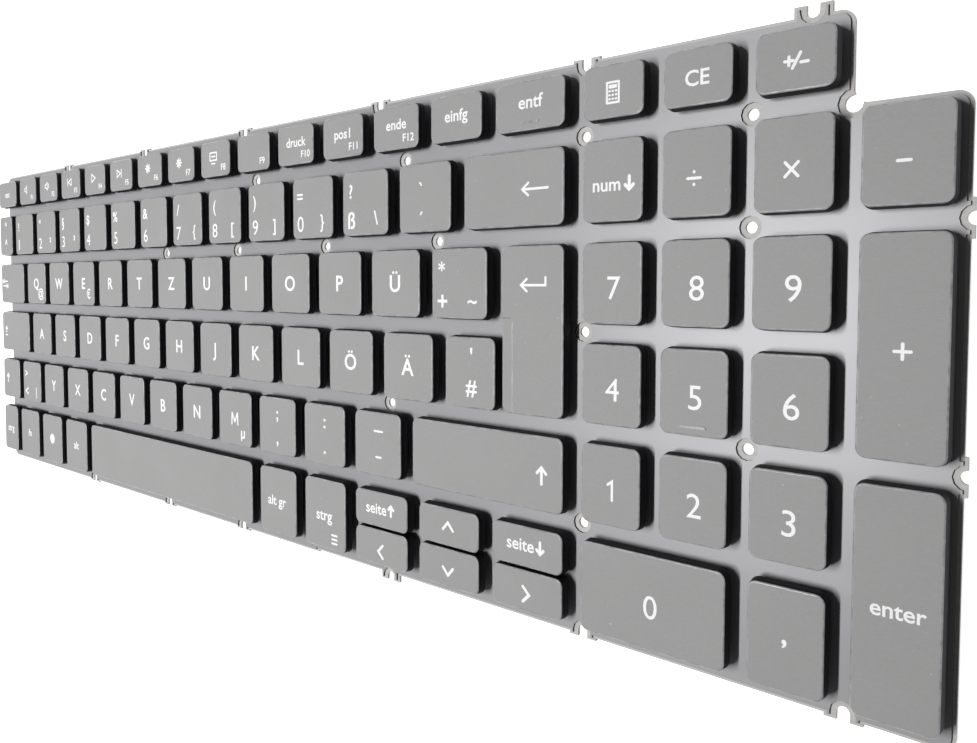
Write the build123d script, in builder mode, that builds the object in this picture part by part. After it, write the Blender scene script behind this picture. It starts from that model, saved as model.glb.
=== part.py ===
"""Laptop replacement keyboard: a thin sheet base, a membrane on it, rubber domes and flat key caps.

Lengths are millimetres. The layout is measured from the lower left corner of the block of caps,
with X along the rows and Y towards the function row, and place() moves it to the part's own frame.
"""
import os
from math import atan, degrees, sqrt

from build123d import *

# Key caps, as sizes of their top faces
key_gap = 3.75
unit_width = 14.95
key_depth = 14.7
bottom_key_depth = 16.95
function_key_depth = 9.5
pad_width = 12.1
pad_gap = 4.2
half_key_gap = 0.7

# Widths of the keys that differ from the unit key
caret_width = 11.0
tab_width = 20.7
caps_lock_width = 24.5
left_shift_width = 14.75
backspace_width = 24.45
hash_gap = 1.65
left_ctrl_width = 11.95
modifier_width = 15.3
arrow_width = 16.85
escape_width = 15.55
delete_width = 16.15

# Cap section
cap_height = 2.0
cap_flare = 0.25
cap_corner = 1.5
cap_wall = 1.0
cap_top = 1.0
cap_lift = 1.9
enter_ledge_width = 2.65
enter_ledge_drop = 0.4
homing_bar_length = 4.6
homing_bar_width = 0.45
homing_bar_height = 0.15
homing_bar_inset = 1.5

# Sheets, from the underside up
plate_thickness = 0.6
membrane_thickness = 0.4
membrane_inset = 0.6
side_margin = 1.5
bottom_margin = 3.2
space_margin = 3.7
top_margin = 2.7
sheet_corner = 2.2
opening_rim = 0.95
opening_sides = 12
hole_diameter = 1.95
relief_diameter = 2.7

# Slotted tabs round the edge of the plate
tab_span = 5.9
tab_reach = 0.55
long_tab_reach = 1.75
side_tab_reach = 0.5
slot_width = 2.0
slot_depth = 2.4
long_slot_depth = 2.1
side_slot_depth = 1.05
upper_tab_inset = 55.8
upper_tab_step = 53.1
plus_minus_tab_inset = 4.75
alt_tab_inset = 7.0
space_tab_inset = 10.5
space_tab_step = 38.8
arrow_tab_inset = 7.3

# Rubber domes
dome_base = 4.4
dome_clearance = 0.1
dome_flank = 22.0

# Heights of the layers
membrane_level = plate_thickness
membrane_face = membrane_level + membrane_thickness
skirt_level = membrane_face + cap_lift
cap_draft = degrees(atan(cap_flare / cap_height))

# A rounded cap corner is two cuts, one after the other, that follow its circle with few faces
skirt_corner = cap_corner + cap_flare
first_cut = (2 - sqrt(2)) * skirt_corner
second_cut = 0.215 * skirt_corner

# Rows, by the lower edges of their caps
row_step = key_depth + key_gap
shift_row = bottom_key_depth + key_gap
home_row = shift_row + row_step
upper_row = home_row + row_step
digit_row = upper_row + row_step
function_row = digit_row + row_step
block_depth = function_row + function_key_depth

# Columns, by the left edges of their caps
unit_step = unit_width + key_gap
digit_start = caret_width + key_gap
upper_start = tab_width + key_gap
home_start = caps_lock_width + key_gap
shift_start = left_shift_width + key_gap
backspace_start = digit_start + 12 * unit_step
main_width = backspace_start + backspace_width
enter_start = upper_start + 12 * unit_step
hash_start = home_start + 11 * unit_step
hash_width = enter_start - hash_gap - hash_start
right_shift_start = shift_start + 11 * unit_step
fn_start = left_ctrl_width + key_gap
space_start = fn_start + 3 * (modifier_width + key_gap)
arrow_step = arrow_width + key_gap
arrow_start = main_width - 2 * arrow_step - arrow_width
alt_gr_start = arrow_start - 2 * unit_step
space_end = alt_gr_start - key_gap
f1_start = escape_width + key_gap
delete_start = main_width - delete_width
function_step = (delete_start - f1_start) / 13
function_width = function_step - key_gap
pad_step = pad_width + key_gap
pad_start = main_width + pad_gap
block_width = pad_start + 3 * pad_step + pad_width

# Sheet edges and the centre of the footprint
left_edge = -side_margin
right_edge = block_width + side_margin
lower_edge = -bottom_margin
space_edge = -space_margin
upper_edge = block_depth + top_margin
step_x = pad_start + 2 * pad_step + pad_width + side_margin
step_y = digit_row + key_depth + side_margin
space_edge_end = alt_gr_start + unit_step
centre_x = (left_edge + right_edge + side_tab_reach) / 2
centre_y = (lower_edge + upper_edge) / 2


def place(x, y):
    """A point of the layout in the part's frame."""
    return (x - centre_x, y - centre_y)


def middle(key):
    """The middle of a key (left, lower, width, depth) in the part's frame."""
    left, lower, width, depth = key
    return place(left + width / 2, lower + depth / 2)


def key_run(names, left, lower, width, depth):
    """Keys of one size side by side, by name."""
    return {name: (left + i * (width + key_gap), lower, width, depth) for i, name in enumerate(names)}


def save(builder, name):
    """Label a finished piece and write its file."""
    builder.part.label = name
    export_step(builder.part, f"parts/{name}.step")


# Keys that move by themselves
arrow_depth = (bottom_key_depth - half_key_gap) / 2
upper_half = bottom_key_depth - arrow_depth
tall_depth = key_depth + row_step
tall_enter_depth = shift_row + key_depth
function_names = [f"key_f{number}" for number in range(1, 13)] + ["key_insert"]
modifiers = ["key_fn", "key_start", "key_alt"]

keys = {
    "key_escape": (0, function_row, escape_width, function_key_depth),
    "key_delete": (delete_start, function_row, delete_width, function_key_depth),
    "key_backspace": (backspace_start, digit_row, backspace_width, key_depth),
    "key_enter": (enter_start, home_row, main_width - enter_start, tall_depth),
    "key_tab": (0, upper_row, tab_width, key_depth),
    "key_caps_lock": (0, home_row, caps_lock_width, key_depth),
    "key_left_shift": (0, shift_row, left_shift_width, key_depth),
    "key_right_shift": (right_shift_start, shift_row, main_width - right_shift_start, key_depth),
    "key_left_ctrl": (0, 0, left_ctrl_width, bottom_key_depth),
    "key_space": (space_start, 0, space_end - space_start, bottom_key_depth),
    "key_plus": (pad_start + 3 * pad_step, home_row, pad_width, tall_depth),
    "key_pad_enter": (pad_start + 3 * pad_step, 0, pad_width, tall_enter_depth),
    "key_pad_0": (pad_start, 0, pad_step + pad_width, bottom_key_depth),
    "key_pad_comma": (pad_start + 2 * pad_step, 0, pad_width, bottom_key_depth),
}
keys |= key_run(function_names, f1_start, function_row, function_width, function_key_depth)
keys |= key_run(modifiers, fn_start, 0, modifier_width, bottom_key_depth)
keys |= key_run(["key_alt_gr", "key_right_ctrl"], alt_gr_start, 0, unit_width, bottom_key_depth)
keys |= key_run(["key_page_up", "key_up", "key_page_down"], arrow_start, upper_half, arrow_width, arrow_depth)
keys |= key_run(["key_left", "key_down", "key_right"], arrow_start, 0, arrow_width, arrow_depth)
pad_top = ["key_calculator", "key_clear_entry", "key_plus_minus"]
keys |= key_run(pad_top, pad_start, function_row, pad_width, function_key_depth)
pad_operators = ["key_num_lock", "key_divide", "key_multiply", "key_minus"]
keys |= key_run(pad_operators, pad_start, digit_row, pad_width, key_depth)
for first_digit, row in ((7, upper_row), (4, home_row), (1, shift_row)):
    digits = [f"key_pad_{first_digit + i}" for i in range(3)]
    keys |= key_run(digits, pad_start, row, pad_width, key_depth)

homing_keys = ("key_pad_5", "key_delete")

# Character keys, which share one carrier
characters = {"caret": (0, digit_row, caret_width, key_depth)}
characters |= key_run([f"digit_{i}" for i in range(12)], digit_start, digit_row, unit_width, key_depth)
characters |= key_run([f"upper_{i}" for i in range(12)], upper_start, upper_row, unit_width, key_depth)
characters |= key_run([f"home_{i}" for i in range(11)], home_start, home_row, unit_width, key_depth)
characters |= {"hash": (hash_start, home_row, hash_width, key_depth)}
characters |= key_run([f"lower_{i}" for i in range(11)], shift_start, shift_row, unit_width, key_depth)

# Openings in both sheets, in the gaps between the keys
half_gap = key_gap / 2
pad_column = main_width + pad_gap / 2
pad_middle = pad_start + 2 * pad_step - half_gap
holes = [place(pad_column, row - half_gap) for row in (shift_row, upper_row, function_row)]
holes += [place(pad_middle, row - half_gap) for row in (home_row, digit_row, function_row)]
holes += [place(digit_start + i * unit_step - half_gap, function_row - half_gap) for i in (8, 11)]
holes += [place(upper_start + i * unit_step - half_gap, digit_row - half_gap) for i in (5, 7, 9, 11)]
holes += [place(home_start + 10 * unit_step - half_gap, home_row - half_gap)]

# Slotted tabs: a point on the sheet's edge, the way out from it, the tab's reach and its slot's depth
upper_tabs = [pad_column] + [pad_column - upper_tab_inset - i * upper_tab_step for i in range(4)]
space_tabs = [space_end - space_tab_inset - i * space_tab_step for i in range(2)]
space_tabs += [space_start - alt_tab_inset]
lower_tabs = [pad_column, pad_start + 3 * pad_step - half_gap]
side_tabs = [home_row - half_gap, digit_row - half_gap]
plus_minus_tab = step_x - side_margin - plus_minus_tab_inset
tabs = [(place(x, upper_edge), 90, tab_reach, slot_depth) for x in upper_tabs]
tabs += [(place(x, space_edge), -90, tab_reach, slot_depth) for x in space_tabs]
tabs += [(place(x, lower_edge), -90, tab_reach, slot_depth) for x in lower_tabs]
tabs += [(place(right_edge, y), 0, side_tab_reach, side_slot_depth) for y in side_tabs]
tabs += [
    (place(plus_minus_tab, upper_edge), 90, long_tab_reach, long_slot_depth),
    (place(arrow_start + arrow_tab_inset, lower_edge), -90, long_tab_reach, long_slot_depth),
]


def few_sided(radius, mode):
    """A round opening drawn with few sides."""
    RegularPolygon(radius, opening_sides, mode=mode)


def sheet(name, level, thickness, inset, rim, hole_shape):
    """A sheet with the stepped outline, slotted tabs and holes; rim widens every opening."""
    corners = [
        place(left_edge + inset, space_edge + inset),
        place(space_edge_end - inset, space_edge + inset),
        place(space_edge_end - inset, lower_edge + inset),
        place(right_edge - inset, lower_edge + inset),
        place(right_edge - inset, step_y - inset),
        place(step_x - inset, step_y - inset),
        place(step_x - inset, upper_edge - inset),
        place(left_edge + inset, upper_edge - inset),
    ]
    slot_radius = slot_width / 2 + rim
    with BuildPart() as piece:
        with BuildSketch(Plane.XY.offset(level)) as outline:
            with BuildLine():
                Polyline(*corners, close=True)
            make_face()
            small_step = outline.vertices().group_by(Axis.X)[1]
            fillet(outline.vertices() - small_step, sheet_corner - inset)
            for edge_point, way_out, reach, depth in tabs:
                slot_centre = reach - depth + slot_width / 2
                with Locations(Location(edge_point, way_out)):
                    with Locations((reach - inset, 0)):
                        Rectangle(reach + depth, tab_span - 2 * inset, align=(Align.MAX, Align.CENTER))
                    with Locations((slot_centre, 0)):
                        Rectangle(depth, 2 * slot_radius, align=(Align.MIN, Align.CENTER), mode=Mode.SUBTRACT)
                        few_sided(slot_radius, Mode.SUBTRACT)
            with Locations(place(step_x, step_y)):
                few_sided(relief_diameter / 2 + rim, Mode.SUBTRACT)
            with Locations(*holes):
                hole_shape(hole_diameter / 2 + rim, mode=Mode.SUBTRACT)
        extrude(amount=thickness)
    save(piece, name)


def key_cap(name, key):
    """A cap with drafted sides and soft corners, hollow below; enter has a ledge towards the hash key."""
    width = key[2] + 2 * cap_flare
    depth = key[3] + 2 * cap_flare
    with BuildPart() as cap:
        with BuildSketch(Plane((*middle(key), skirt_level))) as outline:
            Rectangle(width, depth)
            chamfer(outline.vertices(), first_cut)
            chamfer(outline.vertices(), second_cut)
        extrude(amount=cap_height, taper=cap_draft)
        with BuildSketch(Plane((*middle(key), skirt_level))):
            Rectangle(width - 2 * cap_wall, depth - 2 * cap_wall)
        extrude(amount=cap_height - cap_top, mode=Mode.SUBTRACT)
        if name in homing_keys:
            bar_y = homing_bar_inset - key[3] / 2
            with BuildSketch(Plane((*middle(key), skirt_level + cap_height))):
                with Locations((0, bar_y)):
                    Rectangle(homing_bar_length, homing_bar_width)
            extrude(amount=homing_bar_height)
        if name == "key_enter":
            ledge_corner = place(enter_start - cap_flare, home_row - cap_flare)
            with BuildSketch(Plane((*ledge_corner, skirt_level + cap_height))):
                Rectangle(cap_flare + enter_ledge_width, cap_flare + row_step, align=Align.MIN)
            extrude(amount=-enter_ledge_drop, mode=Mode.SUBTRACT)
    save(cap, name)


def character_caps():
    """The caps of the letters, digits and marks, closed below and with cut corners."""
    with BuildPart() as caps:
        with BuildSketch(Plane.XY.offset(skirt_level)) as outlines:
            for key in characters.values():
                with Locations(middle(key)):
                    Rectangle(key[2] + 2 * cap_flare, key[3] + 2 * cap_flare)
            chamfer(outlines.vertices(), first_cut)
        extrude(amount=cap_height, taper=cap_draft)
    save(caps, "character_keys")


def rubber_domes():
    """One spring dome under each cap, up to its ceiling."""
    low_rise = cap_lift - dome_clearance
    high_rise = low_rise + cap_height - cap_top
    with BuildPart() as domes:
        for group, rise in ((characters.values(), low_rise), (keys.values(), high_rise)):
            with BuildSketch(Plane.XY.offset(membrane_face)):
                with Locations(*[middle(key) for key in group]):
                    Rectangle(dome_base, dome_base)
            extrude(amount=rise, taper=dome_flank)
    save(domes, "rubber_domes")


os.makedirs("parts", exist_ok=True)
sheet("base_plate", 0, plate_thickness, 0, 0, Circle)
sheet("membrane", membrane_level, membrane_thickness, membrane_inset, opening_rim, few_sided)
rubber_domes()
character_caps()
for key_name, key_place in keys.items():
    key_cap(key_name, key_place)
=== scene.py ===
"""Looks of the laptop replacement keyboard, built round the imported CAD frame.

Shapes are given in millimetres and scaled to metres where a mesh is made. The frame's X runs along the
key rows, Y towards the function row and Z up from the underside of the base plate.
"""
import math

import bmesh
import bpy
from mathutils import Matrix, Vector


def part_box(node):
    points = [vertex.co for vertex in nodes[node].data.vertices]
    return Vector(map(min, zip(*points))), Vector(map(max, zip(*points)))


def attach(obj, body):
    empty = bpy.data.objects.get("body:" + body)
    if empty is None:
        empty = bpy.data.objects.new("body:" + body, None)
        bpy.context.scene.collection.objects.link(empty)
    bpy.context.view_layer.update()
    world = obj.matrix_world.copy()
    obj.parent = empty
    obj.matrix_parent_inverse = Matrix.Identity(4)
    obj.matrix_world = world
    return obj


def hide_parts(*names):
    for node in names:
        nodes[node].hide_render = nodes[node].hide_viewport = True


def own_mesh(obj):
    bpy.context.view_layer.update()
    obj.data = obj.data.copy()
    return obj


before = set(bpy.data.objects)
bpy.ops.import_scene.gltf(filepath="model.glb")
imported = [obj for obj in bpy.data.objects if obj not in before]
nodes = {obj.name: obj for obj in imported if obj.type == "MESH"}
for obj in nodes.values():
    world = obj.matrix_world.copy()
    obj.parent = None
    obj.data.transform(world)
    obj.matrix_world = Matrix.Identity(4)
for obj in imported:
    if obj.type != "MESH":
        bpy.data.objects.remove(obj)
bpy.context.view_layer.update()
MM = 0.001

# Key caps
CAP_TOP = 4.9
CAP_FLARE = 0.25
CAP_CORNER = 1.5
CAP_WALL = 1.0
CAP_CEILING = 1.0
EDGE_ROUND = 0.30
CORNER_STEPS = 7
EDGE_STEPS = 4
STEEP_STEPS = 1
LEDGE_WIDTH = 2.65
LEDGE_DEPTH = 18.45
LEDGE_DROP = 0.4
LEDGE_CORNER = 0.35
LEDGE_LAP = 0.2
LEAST_BEND = 0.1
HOMING_KEYS = ("key_pad_5", "key_delete")
BAR_LENGTH = 4.6
BAR_WIDTH = 0.45
BAR_HEIGHT = 0.15
BAR_INSET = 1.5
BAR_STEPS = 4

# Printed legends: sizes are heights of a capital letter, and places are measured from the middle of a cap
PRINT_SUNK = 0.02
PRINT_PROUD = 0.012
PRINT_STEP = 0.002
LETTER = 3.6
DIGIT = 3.7
SIGN = 3.0
PAIR = 3.3
WORD = 2.2
SMALL = 1.65
PAD_DIGIT = 4.1
UPPER_LEFT = (-4.7, 2.9)
LOWER_LEFT = (-4.5, -3.8)
LOWER_RIGHT = (3.7, -3.5)
PAIR_UPPER = 3.3
PAIR_LOWER = -3.0
PAD_DIGIT_PLACE = (0.4, -0.8)
FUNCTION_NUMBER_PLACE = (3.9, -2.4)
FUNCTION_ICON_PLACE = (-0.8, 0.6)
FUNCTION_WORD_PLACE = (0.2, 0.75)

# Text: strokes are widened by a weight, in units of the font, apart from the digits of the number block
WEIGHT = 0.016
PAD_DIGITS = "023456789"
WEIGHTS = dict.fromkeys(PAD_DIGITS, 0.0)
GLYPH_STEPS = 4
GLYPH_DEPTH = 0.5

# Drawn lines and dots
LINE_WIDTH = 0.48
FINE_WIDTH = 0.4
BOLD_WIDTH = 0.62
FINE_DRAWINGS = ("calculator", "screen", "speaker", "loud speaker", "play", "skip", "back")
BOLD_DRAWINGS = ("left", "right", "up", "down", "small up arrow", "small down arrow", "up arrow")
END_STEPS = 6
DOT_RADIUS = 1.8
DOT_TURNS = 24

# Switch parts under the caps, with the dome's profile as radius and share of its height, from the foot up
DOME_RADIUS = 2.2
DOME_NECK = 1.05
DOME_PROFILE = [(DOME_RADIUS, 0.0), (DOME_RADIUS, 0.12), (0.86 * DOME_RADIUS, 0.2), (0.72 * DOME_RADIUS, 0.5),
                (DOME_NECK, 0.72), (DOME_NECK, 1.0)]
DOME_TURNS = 20
LINK_SIZE = 0.4
LINK_HALF_LENGTH = 4.0
LINK_HALF_SPANS = (2.9, 2.3)

# Materials: noise mostly keeps between two values, and the Z of a sheet's normal tells its cut edge from its face
NOISE_LOW, NOISE_HIGH = 0.3, 0.7
EDGE_NORMAL, FACE_NORMAL = 0.3, 0.7
DUST_COLOUR = (0.7, 0.7, 0.7)
# Painted shade: near black on the upright cut edges of the film's openings, whose walls lie in shadow
CUT_EDGE_SHADE = (0.02, 0.02, 0.022)

# Floor
FLOOR_SIZE = 6000
FLOOR_DROP = 0.02
FLOOR_COLOUR = (0.95, 0.95, 0.95)
FLOOR_GLOW = 0.85

# Surroundings: white round the horizon, dim above
SKY_DIM = 0.07
HORIZON_TOP = 0.3
HORIZON_FADE = 0.75

# Lamps: a strip above the middle of the keyboard, across the rows, and a round one over the left end
STRIP_PLACE = (3, -3, 440)
STRIP_SIZE = (25, 230)
STRIP_POWER = 1.85
ROUND_PLACE = (-220, 0, 200)
ROUND_RADIUS = 40
ROUND_POWER = 0.8

# Camera fitted to the photograph, with its focal length in the photograph's pixels
PHOTO_WIDTH = 977
SENSOR_WIDTH = 36.0
FOCAL_PIXELS = 797.5
CAMERA_PLACE = (182.19, 12.915, 131.12)
CAMERA_RIGHT = (0.780, 0.001, -0.626)
CAMERA_UP = (-0.030, 0.999, -0.035)
CAMERA_BACK = (0.625, 0.046, 0.779)
CAMERA_SHIFT = (0.0029, -0.0511)
CLIP_START = 10
CLIP_END = 20000


def new_material(name, colour, roughness, metallic=0.0, specular=0.5):
    """A material with a Principled shader, its constants set on the shader's own sockets."""
    material = bpy.data.materials.new(name)
    material.use_nodes = True
    shader = material.node_tree.nodes["Principled BSDF"]
    shader.inputs["Base Color"].default_value = (*colour, 1)
    shader.inputs["Roughness"].default_value = roughness
    shader.inputs["Metallic"].default_value = metallic
    shader.inputs["Specular IOR Level"].default_value = specular
    material.diffuse_color = (*colour, 1)
    return material, shader


def object_noise(tree, scale, stretch=(1, 1, 1), detail=3.0, roughness=0.6):
    """Noise in object space, with scale in cells a millimetre and stretch along the axes."""
    coordinates = tree.nodes.new("ShaderNodeTexCoord")
    mapping = tree.nodes.new("ShaderNodeMapping")
    mapping.inputs["Scale"].default_value = [scale / MM * s for s in stretch]
    noise = tree.nodes.new("ShaderNodeTexNoise")
    noise.inputs["Scale"].default_value = 1.0
    noise.inputs["Detail"].default_value = detail
    noise.inputs["Roughness"].default_value = roughness
    tree.links.new(coordinates.outputs["Object"], mapping.inputs["Vector"])
    tree.links.new(mapping.outputs["Vector"], noise.inputs["Vector"])
    return noise.outputs["Fac"]


def ramp(tree, value, stops):
    """A colour ramp over a value, from (place, colour) pairs."""
    node = tree.nodes.new("ShaderNodeValToRGB")
    elements = node.color_ramp.elements
    while len(elements) < len(stops):
        elements.new(0.5)
    for element, (place, colour) in zip(elements, stops):
        element.position = place
        element.color = (*colour, 1)
    tree.links.new(value, node.inputs["Fac"])
    return node.outputs["Color"]


def scaled(colour, factor):
    """A colour made lighter or darker."""
    return tuple(c * factor for c in colour)


def towards(tree, factor, first, colour):
    """A colour that goes over to a fixed one by a value."""
    node = tree.nodes.new("ShaderNodeMix")
    node.data_type = "RGBA"
    node.inputs["B"].default_value = (*colour, 1)
    tree.links.new(factor, node.inputs["Factor"])
    tree.links.new(first, node.inputs["A"])
    return node.outputs["Result"]


def map_range(tree, value, low, high, new_low, new_high):
    """A value carried from one range to another."""
    node = tree.nodes.new("ShaderNodeMapRange")
    for socket, number in zip(("From Min", "From Max", "To Min", "To Max"), (low, high, new_low, new_high)):
        node.inputs[socket].default_value = number
    tree.links.new(value, node.inputs["Value"])
    return node.outputs["Result"]


def math_node(tree, operation, first, second):
    """A Math node over a value and either a second value or a number."""
    node = tree.nodes.new("ShaderNodeMath")
    node.operation = operation
    tree.links.new(first, node.inputs[0])
    if isinstance(second, float):
        node.inputs[1].default_value = second
    else:
        tree.links.new(second, node.inputs[1])
    return node.outputs[0]


def seen_rays(tree):
    """1 for camera, glossy and transmission rays, 0 for the rays that only carry light."""
    path = tree.nodes.new("ShaderNodeLightPath")
    direct = math_node(tree, "MAXIMUM", path.outputs["Is Camera Ray"], path.outputs["Is Glossy Ray"])
    return math_node(tree, "MAXIMUM", direct, path.outputs["Is Transmission Ray"])


def mottled(tree, noise, base, dark, light):
    """A colour that varies with noise between two multiples of its base."""
    return ramp(tree, noise, [(NOISE_LOW, scaled(base, dark)), (NOISE_HIGH, scaled(base, light))])


def vary_roughness(tree, shader, noise, low, high):
    """Roughness that varies with noise."""
    tree.links.new(map_range(tree, noise, NOISE_LOW, NOISE_HIGH, low, high), shader.inputs["Roughness"])


def add_bump(tree, shader, height, strength, distance):
    """Relief from a height value, with distance in millimetres."""
    bump = tree.nodes.new("ShaderNodeBump")
    bump.inputs["Strength"].default_value = strength
    bump.inputs["Distance"].default_value = distance * MM
    tree.links.new(height, bump.inputs["Height"])
    tree.links.new(bump.outputs["Normal"], shader.inputs["Normal"])


def cap_top_sheen_material():
    """Grey painted sheen on the top faces of the black caps, with a cloudy tone, fine grain, and a few pale
    specks of dust.
    """
    # Painted sheen: this grey stands in for the light that the black tops reflect
    base = (0.338, 0.338, 0.336)
    material, shader = new_material("cap_top_painted_sheen", base, 0.6, specular=0.3)
    tree = material.node_tree
    clouds = object_noise(tree, 0.06, detail=2.0)
    tone = mottled(tree, clouds, base, 0.95, 1.05)
    grain = object_noise(tree, 5.0, stretch=(0.35, 1.0, 1.0), detail=2.0)
    fine = mottled(tree, grain, base, 0.93, 1.07)
    half = tree.nodes.new("ShaderNodeMix")
    half.data_type = "RGBA"
    half.inputs["Factor"].default_value = 0.5
    tree.links.new(tone, half.inputs["A"])
    tree.links.new(fine, half.inputs["B"])
    specks = object_noise(tree, 1.6, detail=1.0, roughness=0.4)
    dust = map_range(tree, specks, 0.79, 0.81, 0.0, 0.45)
    dusty = towards(tree, dust, half.outputs["Result"], DUST_COLOUR)
    tree.links.new(dusty, shader.inputs["Base Color"])
    vary_roughness(tree, shader, clouds, 0.58, 0.66)
    add_bump(tree, shader, grain, 0.12, 0.02)
    return material


def cap_rim_sheen_material():
    """The rounded top edge, grey with the same painted sheen as the top, lighter and darker here and there."""
    # Painted sheen: grey like the top, over caps of black plastic
    base = (0.36, 0.36, 0.37)
    material, shader = new_material("cap_edge_painted_sheen", base, 0.32)
    tree = material.node_tree
    rim_noise = object_noise(tree, 0.5, detail=3.0)
    tone = ramp(tree, rim_noise, [(0.35, scaled(base, 0.72)), (0.62, scaled(base, 1.18))])
    tree.links.new(tone, shader.inputs["Base Color"])
    return material


def cap_side_material():
    """Black moulded plastic on the sides and inside of the caps."""
    base = (0.018, 0.019, 0.022)
    material, shader = new_material("cap_plastic", base, 0.55, specular=0.05)
    tree = material.node_tree
    grain = object_noise(tree, 3.0, detail=3.0)
    tone = mottled(tree, grain, base, 0.8, 1.25)
    tree.links.new(tone, shader.inputs["Base Color"])
    add_bump(tree, shader, grain, 0.1, 0.02)
    return material


def legend_material():
    """White print, very slightly uneven."""
    base = (0.95, 0.95, 0.95)
    material, shader = new_material("legend_print", base, 0.5, specular=0.3)
    tree = material.node_tree
    noise = object_noise(tree, 4.0, detail=2.0)
    tone = ramp(tree, noise, [(NOISE_LOW, scaled(base, 0.97)), (NOISE_HIGH, (1.0, 1.0, 1.0))])
    tree.links.new(tone, shader.inputs["Base Color"])
    return material


def film_material():
    """Matt metallic film over the plate, with painted shade on its upright cut edges."""
    base = (0.37, 0.37, 0.38)
    material, shader = new_material("membrane_film", base, 0.46, metallic=0.2, specular=0.38)
    tree = material.node_tree
    clouds = object_noise(tree, 0.03, detail=2.0)
    broad = mottled(tree, clouds, base, 0.97, 1.03)
    # The upright cut edges are painted dark as shade
    tree.links.new(towards(tree, cut_edge(tree), broad, CUT_EDGE_SHADE), shader.inputs["Base Color"])
    vary_roughness(tree, shader, clouds, 0.44, 0.48)
    return material


def cut_edge(tree):
    """1 on the upright cut edges of a sheet, 0 on its faces."""
    coordinates = tree.nodes.new("ShaderNodeTexCoord")
    parts = tree.nodes.new("ShaderNodeSeparateXYZ")
    upright = tree.nodes.new("ShaderNodeMath")
    upright.operation = "ABSOLUTE"
    tree.links.new(coordinates.outputs["Normal"], parts.inputs["Vector"])
    tree.links.new(parts.outputs["Z"], upright.inputs[0])
    return map_range(tree, upright.outputs[0], EDGE_NORMAL, FACE_NORMAL, 1.0, 0.0)


def plate_material():
    """Pale pressed sheet metal with a warm cast and a rolled grain."""
    base = (0.57, 0.56, 0.54)
    material, shader = new_material("plate_metal", base, 0.6, specular=0.2)
    tree = material.node_tree
    grain = object_noise(tree, 1.5, stretch=(0.05, 1.0, 1.0), detail=4.0)
    tone = mottled(tree, grain, base, 0.92, 1.08)
    tree.links.new(tone, shader.inputs["Base Color"])
    vary_roughness(tree, shader, grain, 0.55, 0.65)
    add_bump(tree, shader, grain, 0.08, 0.01)
    return material


def rubber_material():
    """Dark silicone of the domes and links."""
    base = (0.018, 0.019, 0.021)
    material, shader = new_material("dome_rubber", base, 0.55, specular=0.3)
    tree = material.node_tree
    noise = object_noise(tree, 2.0, detail=3.0)
    tone = mottled(tree, noise, base, 0.8, 1.3)
    tree.links.new(tone, shader.inputs["Base Color"])
    add_bump(tree, shader, noise, 0.15, 0.03)
    return material


# The grey top and rim materials are a painted sheen: the caps are black plastic throughout, as on their sides
CAP_MATERIALS = [cap_top_sheen_material(), cap_rim_sheen_material(), cap_side_material(), legend_material()]
FACE, RIM, SIDE, PRINT = range(4)
RUBBER = rubber_material()


def rounded_polygon(corners, inset=0.0, steps=CORNER_STEPS):
    """Points of a right-angled polygon drawn in by inset.

    The corners are (x, y, radius), counter-clockwise.
    """
    points = []
    count = len(corners)
    for i, (x, y, radius) in enumerate(corners):
        before, after = corners[i - 1], corners[(i + 1) % count]
        arriving = Vector((x - before[0], y - before[1])).normalized()
        leaving = Vector((after[0] - x, after[1] - y)).normalized()
        inwards = Vector((-arriving.y, arriving.x)) + Vector((-leaving.y, leaving.x))
        convex = arriving.x * leaving.y - arriving.y * leaving.x > 0
        bend = max(radius - inset, LEAST_BEND) if convex else radius + inset
        corner = Vector((x, y)) + inwards * inset
        centre = corner - arriving * bend + leaving * bend
        for step in range(steps + 1):
            angle = math.pi / 2 * step / steps
            point = centre + (arriving * math.sin(angle) - leaving * math.cos(angle)) * bend
            points.append((point.x, point.y))
    return points


def box_corners(centre, width, depth, radius):
    """The corners of a rectangle for rounded_polygon."""
    (cx, cy), w, d = centre, width / 2, depth / 2
    return [(cx - w, cy - d, radius), (cx + w, cy - d, radius),
            (cx + w, cy + d, radius), (cx - w, cy + d, radius)]


def circle(x, y, radius, count):
    """Points round a circle."""
    turns = [2 * math.pi * i / count for i in range(count)]
    return [(x + radius * math.cos(a), y + radius * math.sin(a)) for a in turns]


def add_ring(mesh, points, z):
    """One ring of vertices at a height."""
    return [mesh.verts.new((x, y, z)) for x, y in points]


def bridge(mesh, lower, upper, material, smooth=False):
    """Faces between two rings of the same count."""
    count = len(lower)
    for i in range(count):
        j = (i + 1) % count
        face = mesh.faces.new((lower[i], lower[j], upper[j], upper[i]))
        face.material_index = material
        face.smooth = smooth


def add_cap(mesh, corners, skirt, top, full_height, hollow=True):
    """A closed cap over the corners of its skirt, with flared sides, a rounded upper edge and a flat face."""
    lean = CAP_FLARE / full_height
    side_top = top - EDGE_ROUND
    start = lean * (side_top - skirt)
    rings = [(0.0, skirt, SIDE), (start, side_top, SIDE)]
    for step in range(1, EDGE_STEPS + 1):
        angle = math.pi / 2 * step / EDGE_STEPS
        inset = start + EDGE_ROUND * (1 - math.cos(angle))
        material = SIDE if step <= STEEP_STEPS else RIM
        rings.append((inset, side_top + EDGE_ROUND * math.sin(angle), material))
    made = [(add_ring(mesh, rounded_polygon(corners, inset), z), material) for inset, z, material in rings]
    for (lower, _), (upper, material) in zip(made, made[1:]):
        bridge(mesh, lower, upper, material, smooth=True)
    face = mesh.faces.new(made[-1][0])
    face.material_index = FACE
    foot = made[0][0]
    if hollow:
        inner = rounded_polygon(corners, CAP_WALL)
        rim = add_ring(mesh, inner, skirt)
        ceiling = add_ring(mesh, inner, top - CAP_CEILING)
        bridge(mesh, foot[::-1], rim[::-1], SIDE)
        bridge(mesh, rim[::-1], ceiling[::-1], SIDE)
        floor = mesh.faces.new(ceiling[::-1])
    else:
        floor = mesh.faces.new(foot[::-1])
    floor.material_index = SIDE


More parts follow.
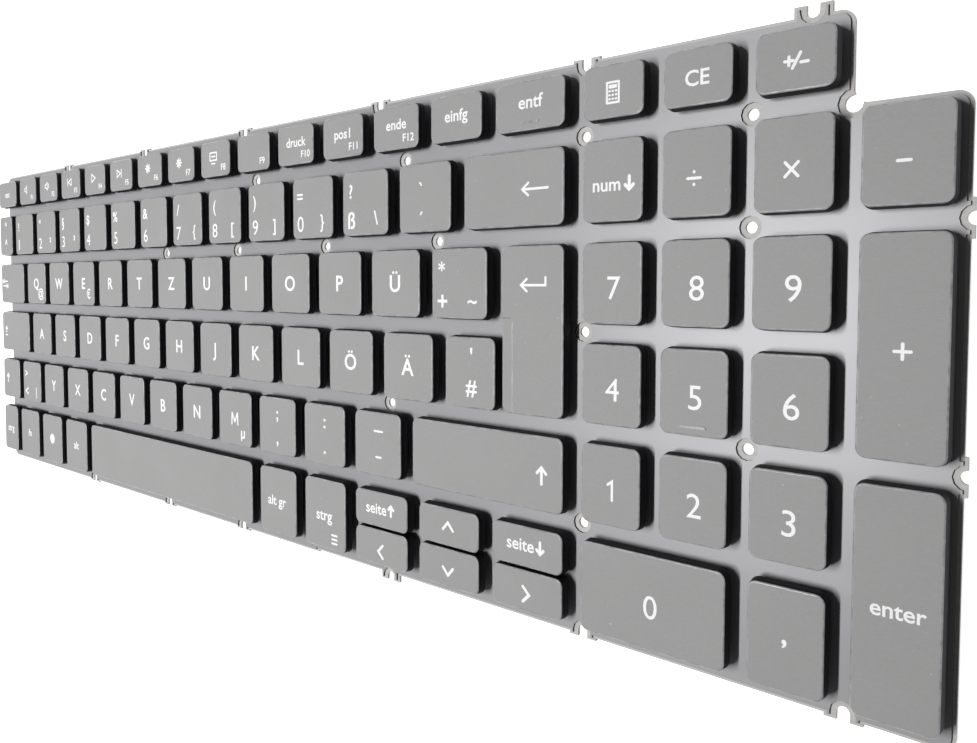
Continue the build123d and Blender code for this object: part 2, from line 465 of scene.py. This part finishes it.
def add_enter(mesh, centre, width, depth, skirt, top):
    """The enter cap: an L-shaped body with a lower ledge in its notch."""
    radius = CAP_CORNER + CAP_FLARE
    left, right = centre[0] - width / 2, centre[0] + width / 2
    low, high = centre[1] - depth / 2, centre[1] + depth / 2
    notch_x, notch_y = left + LEDGE_WIDTH, low + LEDGE_DEPTH + 2 * CAP_FLARE
    body = [(notch_x, low, LEDGE_CORNER), (right, low, radius), (right, high, radius), (left, high, radius),
            (left, notch_y, LEDGE_CORNER), (notch_x, notch_y, LEDGE_CORNER)]
    add_cap(mesh, body, skirt, top, top - skirt)
    end_x, end_y = notch_x + CAP_FLARE + LEDGE_LAP, notch_y + CAP_FLARE + LEDGE_LAP
    ledge = [(left, low, radius), (end_x, low, LEDGE_CORNER),
             (end_x, end_y, LEDGE_CORNER), (left, end_y, LEDGE_CORNER)]
    add_cap(mesh, ledge, skirt, top - LEDGE_DROP, top - skirt, hollow=False)


def add_prism(mesh, points, low, high, material):
    """A closed prism over a polygon."""
    lower = add_ring(mesh, points, low)
    upper = add_ring(mesh, points, high)
    bridge(mesh, lower, upper, material)
    mesh.faces.new(upper).material_index = material
    mesh.faces.new(lower[::-1]).material_index = material


glyph_meshes = {}


def glyph_mesh(text, weight):
    """The mesh of a piece of text, centred on X and standing on Y 0, with its strokes widened by weight."""
    if (text, weight) not in glyph_meshes:
        curve = bpy.data.curves.new("legend", "FONT")
        curve.body = text
        curve.align_x = "CENTER"
        curve.resolution_u = GLYPH_STEPS
        curve.offset = weight
        curve.extrude = GLYPH_DEPTH
        carrier = bpy.data.objects.new("legend", curve)
        glyph_meshes[text, weight] = bpy.data.meshes.new_from_object(carrier)
        bpy.data.objects.remove(carrier)
        bpy.data.curves.remove(curve)
    return glyph_meshes[text, weight]


def add_text(mesh, text, x, y, size, top):
    """Raised print with its text centred on a point, sized by the height of a capital letter."""
    glyphs = glyph_mesh(text, WEIGHTS.get(text, WEIGHT))
    scale = size / CAPITAL_HEIGHT
    z_low, z_high = top - PRINT_SUNK, top + PRINT_PROUD
    base = [
        mesh.verts.new((x + v.co.x * scale, y - size / 2 + v.co.y * scale, z_high if v.co.z > 0 else z_low))
        for v in glyphs.vertices
    ]
    for polygon in glyphs.polygons:
        mesh.faces.new([base[i] for i in polygon.vertices]).material_index = PRINT


def stroke_outline(points, width):
    """The outline of a line through points, with mitred bends and round ends."""
    half = width / 2
    runs = [(Vector(b) - Vector(a)).normalized() for a, b in zip(points, points[1:])]
    sides = [Vector((-run.y, run.x)) * half for run in runs]
    left, right = [], []
    for i, point in enumerate(points):
        if 0 < i < len(points) - 1:
            mitre = (sides[i - 1] + sides[i]) / (1 + sides[i - 1].dot(sides[i]) / half**2)
        else:
            mitre = sides[min(i, len(sides) - 1)]
        left.append(Vector(point) + mitre)
        right.append(Vector(point) - mitre)
    turns = [math.pi * step / END_STEPS for step in range(1, END_STEPS)]
    far = [Vector(points[-1]) - sides[-1] * math.cos(a) + runs[-1] * half * math.sin(a) for a in turns]
    near = [Vector(points[0]) + sides[0] * math.cos(a) - runs[0] * half * math.sin(a) for a in turns]
    return [tuple(p) for p in [*right, *far, *reversed(left), *near]]


def add_line(mesh, points, top, width, order):
    """A printed line through points. Lines that cross lie at slightly different heights, by their order."""
    outline = stroke_outline(points, width)
    add_prism(mesh, outline, top - PRINT_SUNK, top + PRINT_PROUD + order * PRINT_STEP, PRINT)


CAPITAL_HEIGHT = max(v.co.y for v in glyph_mesh("H", 0).vertices)

# Line drawings, as runs of points in millimetres round the middle of the drawing
LEFT_HEAD = [(-1.6, 1.2), (-3.0, 0), (-1.6, -1.2)]
SPEAKER = [[(-1.6, 0.5), (-1.6, -0.5), (-0.8, -0.5), (0.15, -1.35)], [(0.15, -1.35), (0.15, 1.35)],
           [(0.15, 1.35), (-0.8, 0.5), (-1.6, 0.5)]]
DRAWINGS = {
    "left arrow": [[(-3.0, 0), (3.0, 0)], LEFT_HEAD],
    "return arrow": [[(-3.0, 0), (2.8, 0), (2.8, 1.5)], LEFT_HEAD],
    "up arrow": [[(0, -1.6), (0, 1.6)], [(-1.05, 0.5), (0, 1.6), (1.05, 0.5)]],
    "small up arrow": [[(0, -1.15), (0, 1.15)], [(-0.8, 0.35), (0, 1.15), (0.8, 0.35)]],
    "small down arrow": [[(0, 1.15), (0, -1.15)], [(-0.8, -0.35), (0, -1.15), (0.8, -0.35)]],
    "left": [[(0.75, 1.5), (-0.75, 0), (0.75, -1.5)]],
    "right": [[(-0.75, 1.5), (0.75, 0), (-0.75, -1.5)]],
    "up": [[(-1.4, -0.8), (0, 0.8), (1.4, -0.8)]],
    "down": [[(-1.4, 0.8), (0, -0.8), (1.4, 0.8)]],
    "plus": [[(-1.1, 0), (1.1, 0)], [(0, -1.1), (0, 1.1)]],
    "minus": [[(-0.85, 0), (0.85, 0)]],
    "times": [[(-1.0, -1.1), (1.0, 1.1)], [(-1.0, 1.1), (1.0, -1.1)]],
    "divide": [[(-1.15, 0), (1.15, 0)], [(0, 1.0), (0, 1.1)], [(0, -1.0), (0, -1.1)]],
    "plus minus": [[(-1.85, 0.1), (-0.55, 0.1)], [(-1.2, -0.55), (-1.2, 0.75)], [(-0.65, -1.05), (0.55, 1.2)],
                   [(0.6, -0.3), (1.7, -0.3)]],
    "tab arrows": [[(-2.0, 0.9), (2.0, 0.9)], [(-1.1, 1.6), (-2.0, 0.9), (-1.1, 0.2)],
                   [(-2.5, 1.6), (-2.5, 0.2)], [(-2.0, -0.9), (2.0, -0.9)],
                   [(1.1, -0.2), (2.0, -0.9), (1.1, -1.6)], [(2.5, -0.2), (2.5, -1.6)]],
    "M strokes": [[(-1.4, -1.6), (-1.25, 1.55)], [(-1.2, 1.5), (0, -0.9)], [(0, -0.9), (1.2, 1.5)],
                  [(1.25, 1.55), (1.4, -1.6)]],
    "long dash": [[(-1.3, 0), (1.3, 0)]],
    "dash": [[(-0.8, 0), (0.8, 0)]],
    "one": [[(-0.75, 1.05), (0.15, 1.7), (0.15, -1.75)]],
    "menu": [[(-0.9, 1.0), (0.9, 1.0)], [(-0.9, 0), (0.9, 0)], [(-0.9, -1.0), (0.9, -1.0)]],
    "lamp": [[(-1.3, 0), (1.3, 0)], [(0, -1.3), (0, 1.3)],
             [(-0.9, -0.9), (0.9, 0.9)], [(-0.9, 0.9), (0.9, -0.9)]],
    "screen": [[(-1.6, -0.9), (1.6, -0.9), (1.6, 1.2)], [(1.6, 1.2), (-1.6, 1.2), (-1.6, -0.9)],
               [(-0.8, -1.8), (0.8, -1.8)], [(-0.8, 0.15), (0.8, 0.15)]],
    "speaker": SPEAKER,
    "loud speaker": [*SPEAKER, [(1.05, 0.75), (1.4, 0), (1.05, -0.75)]],
    "play": [[(-1.1, -1.35), (1.35, 0), (-1.1, 1.35)], [(-1.1, 1.35), (-1.1, -1.35)]],
    "skip": [[(-1.5, -1.2), (0.65, 0), (-1.5, 1.2)], [(-1.5, 1.2), (-1.5, -1.2)], [(1.25, -1.2), (1.25, 1.2)]],
    "back": [[(1.5, -1.2), (-0.65, 0), (1.5, 1.2)], [(1.5, 1.2), (1.5, -1.2)], [(-1.25, -1.2), (-1.25, 1.2)]],
    "calculator": [[(-1.2, -1.8), (1.2, -1.8), (1.2, 1.8)], [(1.2, 1.8), (-1.2, 1.8), (-1.2, -1.8)],
                   [(-0.66, 1.18), (0.66, 1.18)], [(-0.66, 0.92), (0.66, 0.92)],
                   *[[(x - 0.06, y), (x + 0.06, y)] for x in (-0.66, 0, 0.66) for y in (0.25, -0.45, -1.15)]],
}


def add_drawing(mesh, name, x, y, top):
    """A line drawing centred on a point."""
    width = FINE_WIDTH if name in FINE_DRAWINGS else BOLD_WIDTH if name in BOLD_DRAWINGS else LINE_WIDTH
    for order, run in enumerate(DRAWINGS[name]):
        add_line(mesh, [(x + px, y + py) for px, py in run], top, width, order)


def add_dot(mesh, x, y, radius, top):
    """A round printed dot."""
    add_prism(mesh, circle(x, y, radius, DOT_TURNS), top - PRINT_SUNK, top + PRINT_PROUD, PRINT)


def word(text, x=0.0, y=0.0, size=WORD):
    """A word on a cap."""
    return (text, x, y, size)


def drawn(name, x=0.0, y=0.0):
    """A line drawing on a cap."""
    return (name, x, y, "drawing")


def letter(text, third=""):
    """A letter in the middle of its cap, with a third sign in the lower right corner."""
    return [(text, 0, 0, LETTER)] + ([(third, *LOWER_RIGHT, SIGN)] if third else [])


def digit(upper, lower, third=""):
    """A digit with its shifted sign above and a third sign beside it."""
    marks = [(upper, *UPPER_LEFT, SIGN), (lower, *LOWER_LEFT, DIGIT)]
    return marks + ([(third, *LOWER_RIGHT, SIGN)] if third else [])


def pair(upper, lower, x=0.0):
    """Two signs, one over the other, in the middle of a cap."""
    return [(upper, x, PAIR_UPPER, PAIR), (lower, x, PAIR_LOWER, PAIR)]


CHARACTER_ROWS = [
    [pair("°", "^"), digit("!", "1"), digit('"', "2", "²"), digit("§", "3", "³"), digit("$", "4"),
     digit("%", "5"), digit("&", "6"), digit("/", "7", "{"), digit("(", "8", "["), digit(")", "9", "]"),
     digit("=", "0", "}"),
     digit("?", "ß", "\\"), [("`", -1.0, 1.9, SIGN), ("´", -1.0, -4.4, SIGN)]],
    [letter("Q", "@"), letter("W"), letter("E", "€"), *[letter(c) for c in "RTZUIOPÜ"], digit("*", "+", "~")],
    [*[letter(c) for c in "ASDFGHJKLÖÄ"], pair("'", "#", 0.5)],
    [digit(">", "<", "|"), *[letter(c) for c in "YXCVBN"],
     [drawn("M strokes", 0, 0), ("µ", *LOWER_RIGHT, SIGN)], pair(";", ",", 0.2), pair(":", ".", 0.2),
     [drawn("long dash", 0.4, 3.0), drawn("dash", 0.4, -3.0)]],
]


def function_key(number, drawing=None, text=None):
    """The legend of a function key: a drawing or a word, and its number in the lower right corner."""
    marks = [(f"F{number}", *FUNCTION_NUMBER_PLACE, SMALL)]
    if drawing:
        marks.append(drawn(drawing, *FUNCTION_ICON_PLACE))
    if text:
        marks.append(word(text, *FUNCTION_WORD_PLACE))
    return marks


KEY_LEGENDS = {
    "key_escape": [word("esc")],
    "key_f1": function_key(1, "speaker"),
    "key_f2": function_key(2, "loud speaker"),
    "key_f3": function_key(3, "back"),
    "key_f4": function_key(4, "play"),
    "key_f5": function_key(5, "skip"),
    "key_f6": function_key(6, "lamp"),
    "key_f7": function_key(7, "lamp"),
    "key_f8": function_key(8, "screen"),
    "key_f9": function_key(9),
    "key_f10": function_key(10, text="druck"),
    "key_f11": function_key(11, text="pos1"),
    "key_f12": function_key(12, text="ende"),
    "key_insert": [word("einfg", 0.1, 0.5, 2.3)],
    "key_delete": [word("entf", 0.2, 0.7, 2.45)],
    "key_calculator": [drawn("calculator", 0, -0.3)],
    "key_clear_entry": [word("CE", 0, -0.2, 2.5)],
    "key_plus_minus": [drawn("plus minus", 0.3, -0.25)],
    "key_num_lock": [word("num", -1.15, -0.7, 2.3), drawn("small down arrow", 3.45, -0.65)],
    "key_divide": [drawn("divide", -0.3, -0.9)],
    "key_multiply": [drawn("times", -0.2, -0.85)],
    "key_minus": [drawn("minus", -0.35, -0.95)],
    "key_plus": [drawn("plus", 0.05, -0.55)],
    "key_pad_enter": [word("enter", 0.2, -0.4, 2.35)],
    "key_pad_comma": [word(",", 0, 1.1, 3.4)],
    "key_backspace": [drawn("left arrow", 5.6, -0.2)],
    "key_enter": [drawn("return arrow", 0.5, 8.9)],
    "key_tab": [drawn("tab arrows", -6.6, 0)],
    "key_caps_lock": [drawn("small up arrow", -8.5, 0.6), drawn("minus", -8.5, -1.6)],
    "key_left_shift": [drawn("up arrow", -3.2, 0)],
    "key_right_shift": [drawn("up arrow", 14.9, -0.4)],
    "key_left_ctrl": [word("strg", -0.2, 0, 2.5)],
    "key_fn": [word("fn", 0, 0, 2.5)],
    "key_start": [drawn("dot", 0, 0)],
    "key_alt": [word("alt", 0, 0, 2.5)],
    "key_alt_gr": [word("alt gr", -0.4, 0, 2.45)],
    "key_right_ctrl": [word("strg", -0.3, -0.3, 2.6), drawn("menu", 3.5, -5.8)],
    "key_page_up": [word("seite", -1.45, 0.2, 2.45), drawn("small up arrow", 3.35, 0.25)],
    "key_page_down": [word("seite", -1.45, 0.4, 2.45), drawn("small down arrow", 3.35, 0.4)],
    "key_up": [drawn("up", 0, 0.2)],
    "key_down": [drawn("down", 0, -0.8)],
    "key_left": [drawn("left", -0.1, -0.9)],
    "key_right": [drawn("right", 0, -0.7)],
    "key_pad_1": [drawn("one", 0.35, -0.8)],
}
KEY_LEGENDS |= {f"key_pad_{i}": [(i, *PAD_DIGIT_PLACE, PAD_DIGIT)] for i in PAD_DIGITS}


def add_legend(mesh, marks, centre, top):
    """All the print of one key."""
    for text, dx, dy, size in marks:
        x, y = centre[0] + dx, centre[1] + dy
        if text == "dot":
            add_dot(mesh, x, y, DOT_RADIUS, top)
        elif size == "drawing":
            add_drawing(mesh, text, x, y, top)
        else:
            add_text(mesh, text, x, y, size, top)


def make_piece(name, mesh, materials, body):
    """An object from a mesh drawn in millimetres, riding on a body."""
    bmesh.ops.scale(mesh, vec=(MM, MM, MM), verts=mesh.verts)
    data = bpy.data.meshes.new(name)
    mesh.to_mesh(data)
    mesh.free()
    for material in materials:
        data.materials.append(material)
    piece = bpy.data.objects.new(name, data)
    bpy.context.scene.collection.objects.link(piece)
    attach(piece, body)
    return piece


def key_place(node):
    """Centre, width, depth and skirt height of a cap in millimetres, from its node's box."""
    low, high = (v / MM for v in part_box(node))
    centre = ((low.x + high.x) / 2, (low.y + high.y) / 2)
    return centre, high.x - low.x, high.y - low.y, low.z


def add_homing_bar(mesh, centre, depth, top):
    """The small raised bar near the lower edge of a cap."""
    middle = (centre[0], centre[1] - depth / 2 + CAP_FLARE + BAR_INSET)
    bar = rounded_polygon(box_corners(middle, BAR_LENGTH, BAR_WIDTH, BAR_WIDTH / 2), steps=BAR_STEPS)
    add_prism(mesh, bar, top - PRINT_SUNK, top + BAR_HEIGHT, RIM)


def build_key(node):
    """The dressed cap of one moving key."""
    centre, width, depth, skirt = key_place(node)
    mesh = bmesh.new()
    if node == "key_enter":
        add_enter(mesh, centre, width, depth, skirt, CAP_TOP)
    else:
        corners = box_corners(centre, width, depth, CAP_CORNER + CAP_FLARE)
        add_cap(mesh, corners, skirt, CAP_TOP, CAP_TOP - skirt)
    add_legend(mesh, KEY_LEGENDS.get(node, []), centre, CAP_TOP)
    if node in HOMING_KEYS:
        add_homing_bar(mesh, centre, depth, CAP_TOP)
    piece = make_piece(node.replace("key_", "cap_"), mesh, CAP_MATERIALS, node)
    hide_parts(node)


def islands(node):
    """Boxes of the separate solids of a node in millimetres, in rows from the top, left to right."""
    mesh = bmesh.new()
    mesh.from_mesh(nodes[node].data)
    bmesh.ops.remove_doubles(mesh, verts=mesh.verts, dist=1e-6)
    boxes, seen = [], set()
    for start in mesh.verts:
        if start in seen:
            continue
        stack, found = [start], []
        seen.add(start)
        while stack:
            vert = stack.pop()
            found.append(vert.co / MM)
            for edge in vert.link_edges:
                other = edge.other_vert(vert)
                if other not in seen:
                    seen.add(other)
                    stack.append(other)
        low = Vector([min(p[i] for p in found) for i in range(3)])
        high = Vector([max(p[i] for p in found) for i in range(3)])
        boxes.append((low, high))
    mesh.free()
    return sorted(boxes, key=lambda b: (-round(b[0].y), b[0].x))


def build_characters():
    """All the character caps on the root body, in one piece."""
    marks = [legend for row in CHARACTER_ROWS for legend in row]
    mesh = bmesh.new()
    for (low, high), legend in zip(islands("character_keys"), marks, strict=True):
        centre = ((low.x + high.x) / 2, (low.y + high.y) / 2)
        corners = box_corners(centre, high.x - low.x, high.y - low.y, CAP_CORNER + CAP_FLARE)
        add_cap(mesh, corners, low.z, CAP_TOP, CAP_TOP - low.z, hollow=False)
        add_legend(mesh, legend, centre, CAP_TOP)
    piece = make_piece("character_caps", mesh, CAP_MATERIALS, "keyboard_base")
    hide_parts("character_keys")


def add_dome(mesh, x, y, low, high):
    """A round rubber dome with a foot, a curved flank and a short neck."""
    rise = high - low
    rings = [add_ring(mesh, circle(x, y, radius, DOME_TURNS), low + share * rise)
             for radius, share in DOME_PROFILE]
    for lower, upper in zip(rings, rings[1:]):
        bridge(mesh, lower, upper, 0, smooth=True)
    mesh.faces.new(rings[-1])
    mesh.faces.new(rings[0][::-1])


def add_bar(mesh, start, end, size):
    """A square bar between two points, closed at its ends."""
    along = (Vector(end) - Vector(start)).normalized()
    across = along.cross(Vector((0, 0, 1))).normalized() * size / 2
    upwards = across.cross(along).normalized() * size / 2
    rings = []
    for point in (Vector(start), Vector(end)):
        offsets = (across + upwards, across - upwards, -across - upwards, -across + upwards)
        rings.append([mesh.verts.new(point + offset) for offset in offsets])
    bridge(mesh, rings[0][::-1], rings[1][::-1], 0)
    mesh.faces.new(rings[0])
    mesh.faces.new(rings[1][::-1])


def add_links(mesh, x, y, low, high):
    """The two crossed frames that guide a cap, one inside the other."""
    z_low, z_high = low + LINK_SIZE / 2, high - LINK_SIZE / 2
    for half_span, direction in zip(LINK_HALF_SPANS, (1, -1)):
        foot, head = x - direction * LINK_HALF_LENGTH, x + direction * LINK_HALF_LENGTH
        for side in (-1, 1):
            line = y + side * half_span
            add_bar(mesh, (foot, line, z_low), (head, line, z_high), LINK_SIZE)
        for end, z in ((foot, z_low), (head, z_high)):
            add_bar(mesh, (end, y - half_span, z), (end, y + half_span, z), LINK_SIZE)


def build_domes():
    """Domes and links under every cap: those under moving keys are separate pieces with meshes of their own."""
    still = bmesh.new()
    moving = {}
    for low, high in islands("rubber_domes"):
        x, y = (low.x + high.x) / 2, (low.y + high.y) / 2
        owner = None
        for node in KEY_NODES:
            (kx, ky), width, depth, _ = key_place(node)
            if abs(kx - x) < width / 2 and abs(ky - y) < depth / 2:
                owner = node
        if owner is None:
            add_dome(still, x, y, low.z, high.z)
            add_links(still, x, y, low.z, high.z)
        else:
            moving[owner] = (x, y, low.z, high.z)
    carrier = make_piece("character_domes", still, [RUBBER], "keyboard_base")
    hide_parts("rubber_domes")
    for node, (x, y, low, high) in moving.items():
        mesh = bmesh.new()
        add_dome(mesh, x, y, low, high)
        add_links(mesh, x, y, low, high)
        dome = make_piece(node.replace("key_", "dome_"), mesh, [RUBBER], "keyboard_base")
        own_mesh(dome)


KEY_NODES = sorted(n for n in nodes if n.startswith("key_"))
for key_node in KEY_NODES:
    build_key(key_node)
build_characters()
build_domes()

for node, material in (("membrane", film_material()), ("base_plate", plate_material())):
    nodes[node].data.materials.clear()
    nodes[node].data.materials.append(material)


def build_stage():
    """A wide white floor that keeps a soft shadow."""
    bpy.ops.mesh.primitive_plane_add(size=FLOOR_SIZE * MM, location=(0, 0, -FLOOR_DROP * MM))
    floor = bpy.context.object
    floor.name = "floor"
    material, shader = new_material("floor_white", FLOOR_COLOUR, 0.9, specular=0.1)
    tree = material.node_tree
    shader.inputs["Emission Color"].default_value = (1, 1, 1, 1)
    glow = math_node(tree, "MULTIPLY", seen_rays(tree), FLOOR_GLOW)
    tree.links.new(glow, shader.inputs["Emission Strength"])
    floor.data.materials.append(material)


def build_world():
    """Dim surroundings, with a white horizon where a ray looks at it directly or in a reflection."""
    world = bpy.data.worlds.new("surroundings")
    bpy.context.scene.world = world
    world.use_nodes = True
    tree = world.node_tree
    background = tree.nodes["Background"]
    background.inputs["Color"].default_value = (1, 1, 1, 1)
    coordinates = tree.nodes.new("ShaderNodeTexCoord")
    parts = tree.nodes.new("ShaderNodeSeparateXYZ")
    tree.links.new(coordinates.outputs["Generated"], parts.inputs["Vector"])
    height = map_range(tree, parts.outputs["Z"], HORIZON_TOP, HORIZON_FADE, 1.0, SKY_DIM)
    seen = math_node(tree, "MULTIPLY", height, seen_rays(tree))
    strength = math_node(tree, "MAXIMUM", seen, SKY_DIM)
    tree.links.new(strength, background.inputs["Strength"])


def add_lamp(name, lamp, place, power):
    """A lamp at a place in millimetres. An area lamp faces down."""
    lamp.energy = power
    carrier = bpy.data.objects.new(name, lamp)
    carrier.location = Vector(place) * MM
    bpy.context.scene.collection.objects.link(carrier)
    return carrier


def build_lamps():
    """The strip lamp and the round lamp."""
    strip = bpy.data.lights.new("strip_lamp", "AREA")
    strip.shape = "RECTANGLE"
    strip.size, strip.size_y = (side * MM for side in STRIP_SIZE)
    add_lamp("strip_lamp", strip, STRIP_PLACE, STRIP_POWER)
    round_lamp = bpy.data.lights.new("round_lamp", "POINT")
    round_lamp.shadow_soft_size = ROUND_RADIUS * MM
    add_lamp("round_lamp", round_lamp, ROUND_PLACE, ROUND_POWER).visible_glossy = False


def build_camera():
    """The camera of the photograph."""
    data = bpy.data.cameras.new("camera")
    data.sensor_fit = "HORIZONTAL"
    data.sensor_width = SENSOR_WIDTH
    data.lens = FOCAL_PIXELS * SENSOR_WIDTH / PHOTO_WIDTH
    data.shift_x, data.shift_y = CAMERA_SHIFT
    data.clip_start = CLIP_START * MM
    data.clip_end = CLIP_END * MM
    camera = bpy.data.objects.new("camera", data)
    turn = Matrix((CAMERA_RIGHT, CAMERA_UP, CAMERA_BACK)).transposed().to_4x4()
    camera.matrix_world = Matrix.Translation(Vector(CAMERA_PLACE) * MM) @ turn
    bpy.context.scene.collection.objects.link(camera)
    bpy.context.scene.camera = camera


build_stage()
build_world()
build_lamps()
build_camera()
bpy.context.scene.view_settings.view_transform = "Standard"

bpy.context.view_layer.update()
